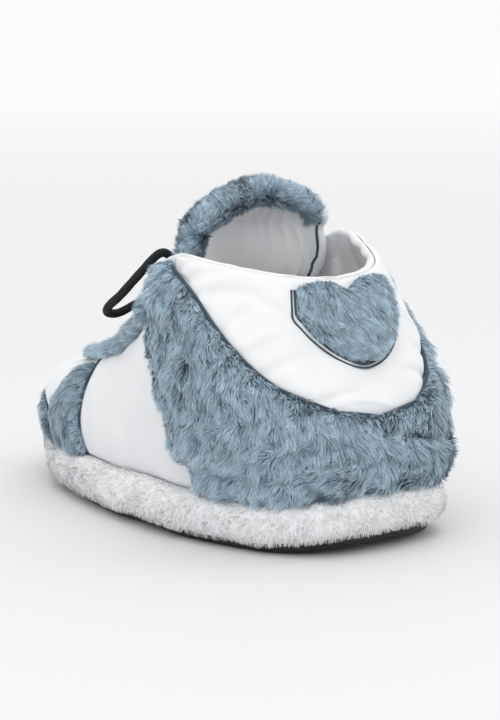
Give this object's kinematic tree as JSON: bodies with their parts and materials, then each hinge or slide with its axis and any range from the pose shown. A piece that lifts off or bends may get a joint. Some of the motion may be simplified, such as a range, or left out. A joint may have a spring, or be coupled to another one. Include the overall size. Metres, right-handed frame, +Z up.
{
  "type": "novelty slipper",
  "caption": "Plush high-top sneaker slipper: padded shell on a soft sole, fur overlays, padded collar with a fur heel tab, fur tongue and round laces tied in a bow.",
  "frame": {"origin": "on the floor under the middle of the shoe's box", "axes": "+Z up, +Y to the toe, +X to the big-toe side of this left shoe"},
  "size_m": [0.1796, 0.3246, 0.2],
  "materials": {
    "blue_grey_fur": "long soft pile",
    "white_plush": "short soft pile",
    "white_cloth": "smooth matt cloth",
    "grey_lining": "brushed cloth",
    "black_rubber": "matt",
    "black_cord": "round braided cord"
  },
  "bodies": {
    "root": {"outsole": "black_rubber", "midsole": "white_plush", "insole": "grey_lining", "upper": "white_cloth", "collar_panel": "white_cloth", "side_panel_outer": "white_cloth", "side_panel_inner": "white_cloth", "quarter_fur": "blue_grey_fur", "eyestay_outer": "blue_grey_fur", "eyestay_inner": "blue_grey_fur", "toe_guard": "blue_grey_fur", "heel_tab": "blue_grey_fur", "tongue": "blue_grey_fur", "lace_bars": "black_cord", "lace_knot": "black_cord", "lace_loop_outer": "black_cord", "lace_loop_inner": "black_cord", "lace_end_outer": "black_cord", "lace_end_inner": "black_cord"}
  },
  "joints": []
}
